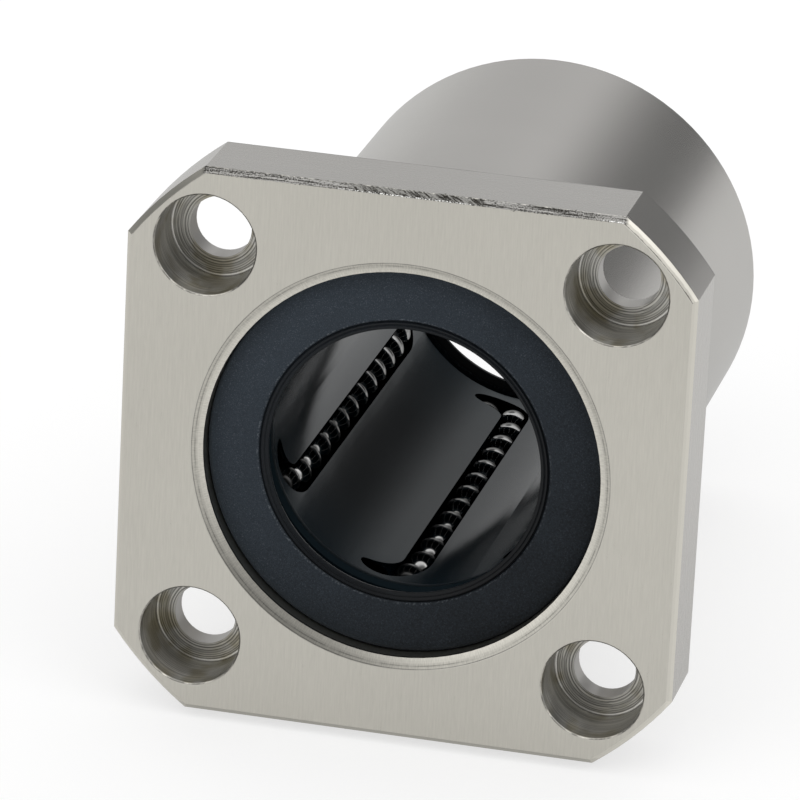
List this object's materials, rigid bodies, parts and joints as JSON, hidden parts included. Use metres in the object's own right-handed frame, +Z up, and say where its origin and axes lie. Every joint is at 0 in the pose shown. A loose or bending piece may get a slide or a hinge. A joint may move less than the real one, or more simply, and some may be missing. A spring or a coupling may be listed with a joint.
{
  "type": "flanged linear bearing",
  "caption": "Square-flanged linear ball bearing: a steel sleeve with a bolt-on flange, lipped end seals and a ball cage whose recirculating rows carry a sliding round shaft.",
  "frame": {"origin": "on the bore's axis, in the plane of the flange's mounting (back) face", "axes": "+Y along the bore from the flange's front towards the sleeve's rear end, +Z up and +X to the right as the flange's front is seen; the flange's sides are square to X and Z"},
  "size_m": [0.05, 0.059, 0.05],
  "materials": {
    "plated_steel": "ground and nickel plated, satin",
    "cage_plastic": "smooth moulded, semi-gloss black",
    "seal_rubber": "matt, fine grained",
    "spring_steel": "plain",
    "ball_steel": "polished"
  },
  "bodies": {
    "housing": {"flanged_sleeve": "plated_steel", "ball_retainer": "cage_plastic", "front_seal": "seal_rubber", "front_retaining_ring": "spring_steel", "rear_seal": "seal_rubber", "rear_retaining_ring": "spring_steel"},
    "load_balls_1_body": {"load_balls_1": "ball_steel"},
    "return_balls_1_body": {"return_balls_1": "ball_steel"},
    "front_turn_balls_1_body": {"front_turn_balls_1": "ball_steel"},
    "rear_turn_balls_1_body": {"rear_turn_balls_1": "ball_steel"},
    "load_balls_2_body": {"load_balls_2": "ball_steel"},
    "return_balls_2_body": {"return_balls_2": "ball_steel"},
    "front_turn_balls_2_body": {"front_turn_balls_2": "ball_steel"},
    "rear_turn_balls_2_body": {"rear_turn_balls_2": "ball_steel"},
    "load_balls_3_body": {"load_balls_3": "ball_steel"},
    "return_balls_3_body": {"return_balls_3": "ball_steel"},
    "front_turn_balls_3_body": {"front_turn_balls_3": "ball_steel"},
    "rear_turn_balls_3_body": {"rear_turn_balls_3": "ball_steel"},
    "load_balls_4_body": {"load_balls_4": "ball_steel"},
    "return_balls_4_body": {"return_balls_4": "ball_steel"},
    "front_turn_balls_4_body": {"front_turn_balls_4": "ball_steel"},
    "rear_turn_balls_4_body": {"rear_turn_balls_4": "ball_steel"},
    "load_balls_5_body": {"load_balls_5": "ball_steel"},
    "return_balls_5_body": {"return_balls_5": "ball_steel"},
    "front_turn_balls_5_body": {"front_turn_balls_5": "ball_steel"},
    "rear_turn_balls_5_body": {"rear_turn_balls_5": "ball_steel"},
    "load_balls_6_body": {"load_balls_6": "ball_steel"},
    "return_balls_6_body": {"return_balls_6": "ball_steel"},
    "front_turn_balls_6_body": {"front_turn_balls_6": "ball_steel"},
    "rear_turn_balls_6_body": {"rear_turn_balls_6": "ball_steel"}
  },
  "joints": [
    {"name": "load_slide_1", "type": "slide", "parent": "housing", "child": "load_balls_1_body", "axis": [0, 1, 0], "range_m": [-0.00175, 0.00175]},
    {"name": "return_slide_1", "type": "slide", "parent": "housing", "child": "return_balls_1_body", "axis": [0, 1, 0], "range_m": [-0.00176, 0.00176]},
    {"name": "front_turn_1", "type": "hinge", "parent": "housing", "child": "front_turn_balls_1_body", "pos_m": [0.01382, 0.00313, 0.00373], "axis": [0.9009, 0, 0.4341], "range_deg": [-30.1, 30.1]},
    {"name": "rear_turn_1", "type": "hinge", "parent": "housing", "child": "rear_turn_balls_1_body", "pos_m": [0.01382, 0.04163, 0.00373], "axis": [0.9009, 0, 0.4341], "range_deg": [-30.1, 30.1]},
    {"name": "load_slide_2", "type": "slide", "parent": "housing", "child": "load_balls_2_body", "axis": [0, 1, 0], "range_m": [-0.00175, 0.00175]},
    {"name": "return_slide_2", "type": "slide", "parent": "housing", "child": "return_balls_2_body", "axis": [0, 1, 0], "range_m": [-0.00176, 0.00176]},
    {"name": "front_turn_2", "type": "hinge", "parent": "housing", "child": "front_turn_balls_2_body", "pos_m": [0.00368, 0.00313, 0.01383], "axis": [0.0745, 0, 0.9972], "range_deg": [-30.1, 30.1]},
    {"name": "rear_turn_2", "type": "hinge", "parent": "housing", "child": "rear_turn_balls_2_body", "pos_m": [0.00368, 0.04163, 0.01383], "axis": [0.0745, 0, 0.9972], "range_deg": [-30.1, 30.1]},
    {"name": "load_slide_3", "type": "slide", "parent": "housing", "child": "load_balls_3_body", "axis": [0, 1, 0], "range_m": [-0.00175, 0.00175]},
    {"name": "return_slide_3", "type": "slide", "parent": "housing", "child": "return_balls_3_body", "axis": [0, 1, 0], "range_m": [-0.00176, 0.00176]},
    {"name": "front_turn_3", "type": "hinge", "parent": "housing", "child": "front_turn_balls_3_body", "pos_m": [-0.01014, 0.00313, 0.0101], "axis": [-0.8264, 0, 0.5631], "range_deg": [-30.1, 30.1]},
    {"name": "rear_turn_3", "type": "hinge", "parent": "housing", "child": "rear_turn_balls_3_body", "pos_m": [-0.01014, 0.04163, 0.0101], "axis": [-0.8264, 0, 0.5631], "range_deg": [-30.1, 30.1]},
    {"name": "load_slide_4", "type": "slide", "parent": "housing", "child": "load_balls_4_body", "axis": [0, 1, 0], "range_m": [-0.00175, 0.00175]},
    {"name": "return_slide_4", "type": "slide", "parent": "housing", "child": "return_balls_4_body", "axis": [0, 1, 0], "range_m": [-0.00176, 0.00176]},
    {"name": "front_turn_4", "type": "hinge", "parent": "housing", "child": "front_turn_balls_4_body", "pos_m": [-0.01382, 0.00313, -0.00373], "axis": [-0.9009, 0, -0.4341], "range_deg": [-30.1, 30.1]},
    {"name": "rear_turn_4", "type": "hinge", "parent": "housing", "child": "rear_turn_balls_4_body", "pos_m": [-0.01382, 0.04163, -0.00373], "axis": [-0.9009, 0, -0.4341], "range_deg": [-30.1, 30.1]},
    {"name": "load_slide_5", "type": "slide", "parent": "housing", "child": "load_balls_5_body", "axis": [0, 1, 0], "range_m": [-0.00175, 0.00175]},
    {"name": "return_slide_5", "type": "slide", "parent": "housing", "child": "return_balls_5_body", "axis": [0, 1, 0], "range_m": [-0.00176, 0.00176]},
    {"name": "front_turn_5", "type": "hinge", "parent": "housing", "child": "front_turn_balls_5_body", "pos_m": [-0.00368, 0.00313, -0.01383], "axis": [-0.0745, 0, -0.9972], "range_deg": [-30.1, 30.1]},
    {"name": "rear_turn_5", "type": "hinge", "parent": "housing", "child": "rear_turn_balls_5_body", "pos_m": [-0.00368, 0.04163, -0.01383], "axis": [-0.0745, 0, -0.9972], "range_deg": [-30.1, 30.1]},
    {"name": "load_slide_6", "type": "slide", "parent": "housing", "child": "load_balls_6_body", "axis": [0, 1, 0], "range_m": [-0.00175, 0.00175]},
    {"name": "return_slide_6", "type": "slide", "parent": "housing", "child": "return_balls_6_body", "axis": [0, 1, 0], "range_m": [-0.00176, 0.00176]},
    {"name": "front_turn_6", "type": "hinge", "parent": "housing", "child": "front_turn_balls_6_body", "pos_m": [0.01014, 0.00313, -0.0101], "axis": [0.8264, 0, -0.5631], "range_deg": [-30.1, 30.1]},
    {"name": "rear_turn_6", "type": "hinge", "parent": "housing", "child": "rear_turn_balls_6_body", "pos_m": [0.01014, 0.04163, -0.0101], "axis": [0.8264, 0, -0.5631], "range_deg": [-30.1, 30.1]}
  ],
  "couplings": [
    {"joint": "return_slide_1", "follows": "load_slide_1", "ratio": -1},
    {"joint": "front_turn_1", "follows": "load_slide_1", "rad_per_m": -299.2},
    {"joint": "rear_turn_1", "follows": "load_slide_1", "rad_per_m": -299.2},
    {"joint": "return_slide_2", "follows": "load_slide_2", "ratio": -1},
    {"joint": "front_turn_2", "follows": "load_slide_2", "rad_per_m": -299.2},
    {"joint": "rear_turn_2", "follows": "load_slide_2", "rad_per_m": -299.2},
    {"joint": "return_slide_3", "follows": "load_slide_3", "ratio": -1},
    {"joint": "front_turn_3", "follows": "load_slide_3", "rad_per_m": -299.2},
    {"joint": "rear_turn_3", "follows": "load_slide_3", "rad_per_m": -299.2},
    {"joint": "return_slide_4", "follows": "load_slide_4", "ratio": -1},
    {"joint": "front_turn_4", "follows": "load_slide_4", "rad_per_m": -299.2},
    {"joint": "rear_turn_4", "follows": "load_slide_4", "rad_per_m": -299.2},
    {"joint": "return_slide_5", "follows": "load_slide_5", "ratio": -1},
    {"joint": "front_turn_5", "follows": "load_slide_5", "rad_per_m": -299.2},
    {"joint": "rear_turn_5", "follows": "load_slide_5", "rad_per_m": -299.2},
    {"joint": "return_slide_6", "follows": "load_slide_6", "ratio": -1},
    {"joint": "front_turn_6", "follows": "load_slide_6", "rad_per_m": -299.2},
    {"joint": "rear_turn_6", "follows": "load_slide_6", "rad_per_m": -299.2}
  ]
}
